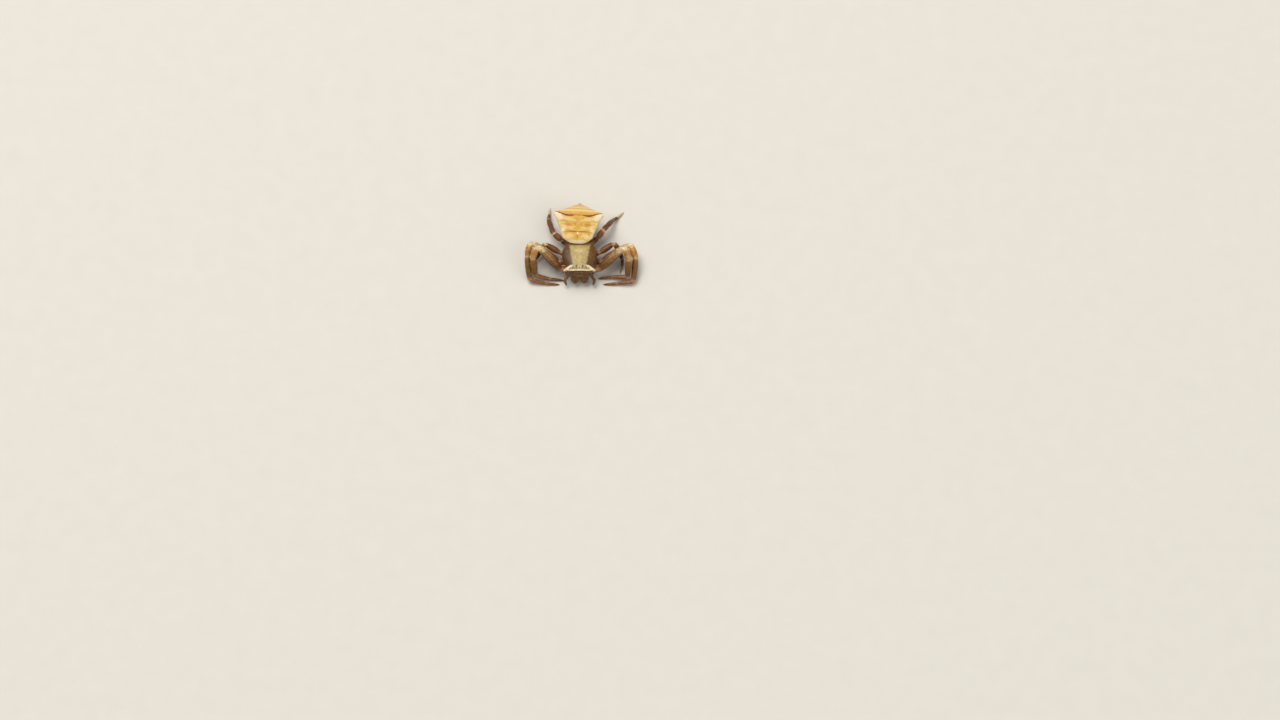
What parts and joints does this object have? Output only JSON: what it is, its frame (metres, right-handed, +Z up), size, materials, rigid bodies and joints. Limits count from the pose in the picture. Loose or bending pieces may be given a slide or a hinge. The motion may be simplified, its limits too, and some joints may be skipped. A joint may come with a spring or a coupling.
{
  "type": "crab spider model",
  "caption": "Still life-size model of a crab spider: folded large front legs, short rear legs, horned eye region and a wide abdomen with two rear corners.",
  "frame": {"origin": "on the floor under the middle of the animal's outline, at the level that its feet rest on", "axes": "+Z up, the animal faces -Y, its left side is at +X"},
  "size_m": [0.007, 0.0052, 0.002],
  "materials": {
    "carapace": "satin, dark brown side bands and a pale middle band",
    "underside": "satin, pale brown",
    "abdomen": "matt cream and ochre with crimson streaks",
    "spinnerets": "satin, tan",
    "face": "satin, dark brown",
    "palp": "satin, brown",
    "eye": "glossy, nearly black",
    "leg_base": "satin, pale yellow, slightly see-through in life",
    "leg_brown": "satin, brown with olive and yellow patches",
    "leg_pale": "satin, orange-brown, whitish at the knee",
    "leg_foot": "satin, pinkish brown"
  },
  "bodies": {
    "root": {"carapace": "carapace", "sternum": "underside", "pedicel": "underside", "abdomen": "abdomen", "spinnerets": "spinnerets", "chelicera_right": "face", "palp_right": "palp", "eye_front_median_right": "eye", "eye_front_lateral_right": "eye", "eye_rear_median_right": "eye", "eye_rear_lateral_right": "eye", "leg1_right_coxa": "leg_base", "leg1_right_femur": "leg_brown", "leg1_right_patella": "leg_pale", "leg1_right_tibia": "leg_brown", "leg1_right_foot": "leg_foot", "leg2_right_coxa": "leg_base", "leg2_right_femur": "leg_brown", "leg2_right_patella": "leg_pale", "leg2_right_tibia": "leg_brown", "leg2_right_foot": "leg_foot", "leg3_right_coxa": "leg_base", "leg3_right_femur": "leg_brown", "leg3_right_patella": "leg_pale", "leg3_right_tibia": "leg_brown", "leg3_right_foot": "leg_foot", "leg4_right_coxa": "leg_base", "leg4_right_femur": "leg_brown", "leg4_right_patella": "leg_pale", "leg4_right_tibia": "leg_brown", "leg4_right_foot": "leg_foot", "chelicera_left": "face", "palp_left": "palp", "eye_front_median_left": "eye", "eye_front_lateral_left": "eye", "eye_rear_median_left": "eye", "eye_rear_lateral_left": "eye", "leg1_left_coxa": "leg_base", "leg1_left_femur": "leg_brown", "leg1_left_patella": "leg_pale", "leg1_left_tibia": "leg_brown", "leg1_left_foot": "leg_foot", "leg2_left_coxa": "leg_base", "leg2_left_femur": "leg_brown", "leg2_left_patella": "leg_pale", "leg2_left_tibia": "leg_brown", "leg2_left_foot": "leg_foot", "leg3_left_coxa": "leg_base", "leg3_left_femur": "leg_brown", "leg3_left_patella": "leg_pale", "leg3_left_tibia": "leg_brown", "leg3_left_foot": "leg_foot", "leg4_left_coxa": "leg_base", "leg4_left_femur": "leg_brown", "leg4_left_patella": "leg_pale", "leg4_left_tibia": "leg_brown", "leg4_left_foot": "leg_foot"}
  },
  "joints": []
}
